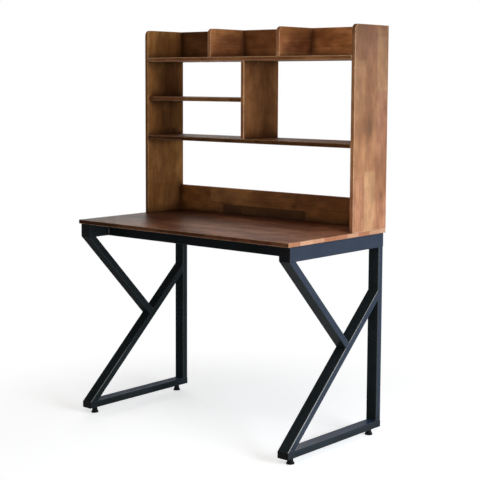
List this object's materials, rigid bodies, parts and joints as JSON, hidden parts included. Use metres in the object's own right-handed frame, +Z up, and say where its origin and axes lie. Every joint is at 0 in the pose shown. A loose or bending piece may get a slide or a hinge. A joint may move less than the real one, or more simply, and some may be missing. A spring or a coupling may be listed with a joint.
{
  "type": "student desk with hutch",
  "caption": "Student desk with a jointed wood top, an open shelf hutch with cubbies above it, and black steel K-shaped side frames on levelling feet.",
  "frame": {"origin": "on the floor under the middle of the desk's box", "axes": "+Z up, front towards -Y, +X to the right of a person who faces the front"},
  "size_m": [1, 0.55, 1.45],
  "materials": {
    "walnut_desktop": "satin lacquer over walnut stain",
    "walnut_sides": "satin lacquer over walnut stain",
    "walnut_shelves": "satin lacquer over walnut stain",
    "walnut_dividers": "satin lacquer over walnut stain",
    "walnut_backs": "satin lacquer over walnut stain",
    "beech": "raw turned beech",
    "black_steel": "satin black powder coat",
    "fastener_steel": "zinc plated",
    "zinc": "die-cast zinc",
    "cap_plastic": "black moulded",
    "foot_plastic": "black moulded"
  },
  "bodies": {
    "desk": {"back_screws": "fastener_steel", "cam_bolts": "fastener_steel", "cam_locks": "zinc", "cross_rail_plates": "black_steel", "desktop": "walnut_desktop", "desktop_bolts": "fastener_steel", "desktop_inserts": "fastener_steel", "dowels": "beech", "foot_nuts": "fastener_steel", "front_cross_rail": "black_steel", "hutch_left_side": "walnut_sides", "hutch_right_side": "walnut_sides", "left_bottom_rail": "black_steel", "left_long_brace": "black_steel", "left_rear_post": "black_steel", "left_short_brace": "black_steel", "left_top_rail": "black_steel", "long_screws": "fastener_steel", "low_back_board": "walnut_backs", "middle_divider": "walnut_dividers", "middle_shelf": "walnut_shelves", "plate_bolts": "fastener_steel", "plate_nuts": "fastener_steel", "rear_cross_rail": "black_steel", "right_bottom_rail": "black_steel", "right_long_brace": "black_steel", "right_rear_post": "black_steel", "right_short_brace": "black_steel", "right_top_rail": "black_steel", "small_shelf": "walnut_shelves", "top_back_board": "walnut_backs", "top_divider_left": "walnut_dividers", "top_divider_right": "walnut_dividers", "top_shelf": "walnut_shelves", "tube_caps": "cap_plastic"},
    "pad_front_left": {"foot_pad_front_left": "foot_plastic"},
    "stud_front_left": {"foot_stud_front_left": "fastener_steel"},
    "pad_front_right": {"foot_pad_front_right": "foot_plastic"},
    "stud_front_right": {"foot_stud_front_right": "fastener_steel"},
    "pad_rear_left": {"foot_pad_rear_left": "foot_plastic"},
    "stud_rear_left": {"foot_stud_rear_left": "fastener_steel"},
    "pad_rear_right": {"foot_pad_rear_right": "foot_plastic"},
    "stud_rear_right": {"foot_stud_rear_right": "fastener_steel"}
  },
  "joints": [
    {"name": "foot_front_left_slide", "type": "slide", "parent": "desk", "child": "pad_front_left", "axis": [0, 0, -1], "range_m": [0, 0.012]},
    {"name": "foot_front_left_turn", "type": "hinge", "parent": "pad_front_left", "child": "stud_front_left", "pos_m": [-0.4745, -0.225, 0.019], "axis": [0, 0, -1], "range_deg": [0, 3458]},
    {"name": "foot_front_right_slide", "type": "slide", "parent": "desk", "child": "pad_front_right", "axis": [0, 0, -1], "range_m": [0, 0.012]},
    {"name": "foot_front_right_turn", "type": "hinge", "parent": "pad_front_right", "child": "stud_front_right", "pos_m": [0.4745, -0.225, 0.019], "axis": [0, 0, -1], "range_deg": [0, 3458]},
    {"name": "foot_rear_left_slide", "type": "slide", "parent": "desk", "child": "pad_rear_left", "axis": [0, 0, -1], "range_m": [0, 0.012]},
    {"name": "foot_rear_left_turn", "type": "hinge", "parent": "pad_rear_left", "child": "stud_rear_left", "pos_m": [-0.4745, 0.225, 0.019], "axis": [0, 0, -1], "range_deg": [0, 3458]},
    {"name": "foot_rear_right_slide", "type": "slide", "parent": "desk", "child": "pad_rear_right", "axis": [0, 0, -1], "range_m": [0, 0.012]},
    {"name": "foot_rear_right_turn", "type": "hinge", "parent": "pad_rear_right", "child": "stud_rear_right", "pos_m": [0.4745, 0.225, 0.019], "axis": [0, 0, -1], "range_deg": [0, 3458]}
  ],
  "couplings": [
    {"joint": "foot_front_left_turn", "follows": "foot_front_left_slide", "rad_per_m": 5026.5},
    {"joint": "foot_front_right_turn", "follows": "foot_front_right_slide", "rad_per_m": 5026.5},
    {"joint": "foot_rear_left_turn", "follows": "foot_rear_left_slide", "rad_per_m": 5026.5},
    {"joint": "foot_rear_right_turn", "follows": "foot_rear_right_slide", "rad_per_m": 5026.5}
  ]
}
